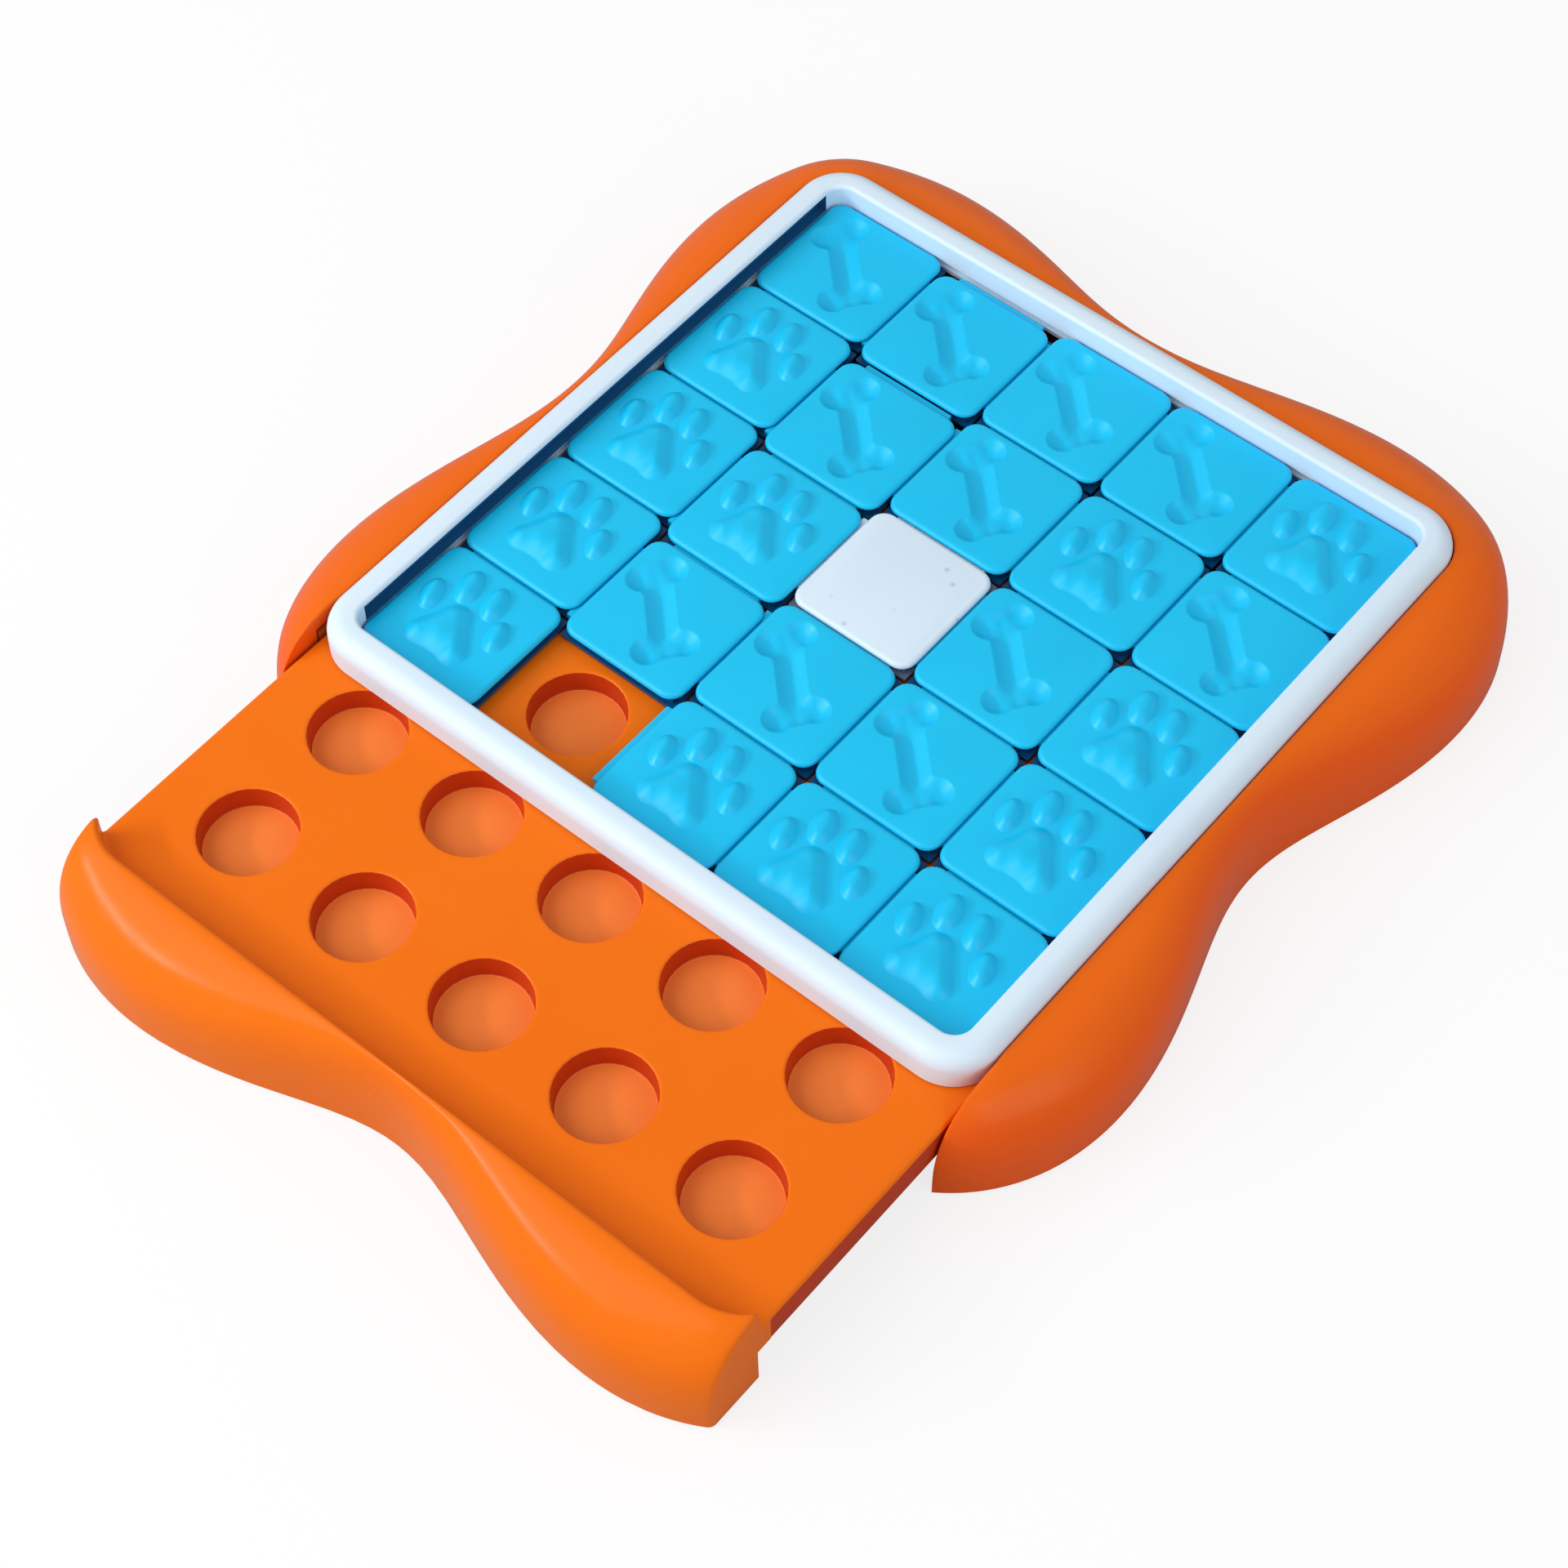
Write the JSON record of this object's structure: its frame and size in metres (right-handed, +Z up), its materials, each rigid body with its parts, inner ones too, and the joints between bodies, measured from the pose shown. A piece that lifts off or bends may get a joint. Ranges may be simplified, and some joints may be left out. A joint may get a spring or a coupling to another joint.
{
  "type": "dog puzzle feeder",
  "caption": "Sliding-tile treat puzzle for dogs: a white frame of blue tiles over an orange drawer with round treat wells.",
  "frame": {"origin": "on the floor, under the middle of the rectangle that the puzzle covers with its drawer out as in the picture", "axes": "+X to the right seen from the drawer's side, +Y to the rear, away from the drawer's front, +Z up"},
  "size_m": [0.2646, 0.3432, 0.036],
  "materials": {
    "orange_shell": "moulded, satin",
    "orange_base": "moulded, matt",
    "orange_drawer": "moulded, satin",
    "white_frame": "moulded, satin",
    "blue_tile": "moulded, satin",
    "white_tile": "moulded, satin",
    "screw_steel": "plated",
    "foot_rubber": "moulded, matt"
  },
  "bodies": {
    "root": {"housing": "orange_shell", "base_plate": "orange_base", "bezel_frame": "white_frame", "base_screws": "screw_steel", "foot_rear_right": "foot_rubber", "foot_rear_left": "foot_rubber", "foot_front_left": "foot_rubber", "foot_front_right": "foot_rubber", "tile_a5": "blue_tile", "tile_c5": "blue_tile", "tile_d5": "blue_tile", "tile_e5": "blue_tile", "tile_a4": "blue_tile", "tile_c4": "blue_tile", "tile_d4": "blue_tile", "tile_e4": "blue_tile", "tile_a3": "blue_tile", "tile_c3": "white_tile", "tile_d3": "blue_tile", "tile_e3": "blue_tile", "tile_a2": "blue_tile", "tile_c2": "blue_tile", "tile_d2": "blue_tile", "tile_e2": "blue_tile", "tile_a1": "blue_tile", "tile_c1": "blue_tile", "tile_d1": "blue_tile", "tile_e1": "blue_tile"},
    "drawer": {"drawer": "orange_drawer"},
    "tile_b2": {"tile_b2": "blue_tile"},
    "tile_b3": {"tile_b3": "blue_tile"},
    "tile_b4": {"tile_b4": "blue_tile"},
    "tile_b5": {"tile_b5": "blue_tile"}
  },
  "joints": [
    {"name": "drawer_slide", "type": "slide", "parent": "root", "child": "drawer", "axis": [0, -1, 0], "range_m": [-0.08, 0.07]},
    {"name": "column_b_slide", "type": "slide", "parent": "root", "child": "tile_b2", "axis": [0, -1, 0], "range_m": [0, 0.035]},
    {"name": "tile_b3_slide", "type": "slide", "parent": "root", "child": "tile_b3", "axis": [0, -1, 0], "range_m": [0, 0.035]},
    {"name": "tile_b4_slide", "type": "slide", "parent": "root", "child": "tile_b4", "axis": [0, -1, 0], "range_m": [0, 0.035]},
    {"name": "tile_b5_slide", "type": "slide", "parent": "root", "child": "tile_b5", "axis": [0, -1, 0], "range_m": [0, 0.035]}
  ],
  "couplings": [
    {"joint": "tile_b3_slide", "follows": "column_b_slide", "ratio": 1},
    {"joint": "tile_b4_slide", "follows": "column_b_slide", "ratio": 1},
    {"joint": "tile_b5_slide", "follows": "column_b_slide", "ratio": 1}
  ]
}
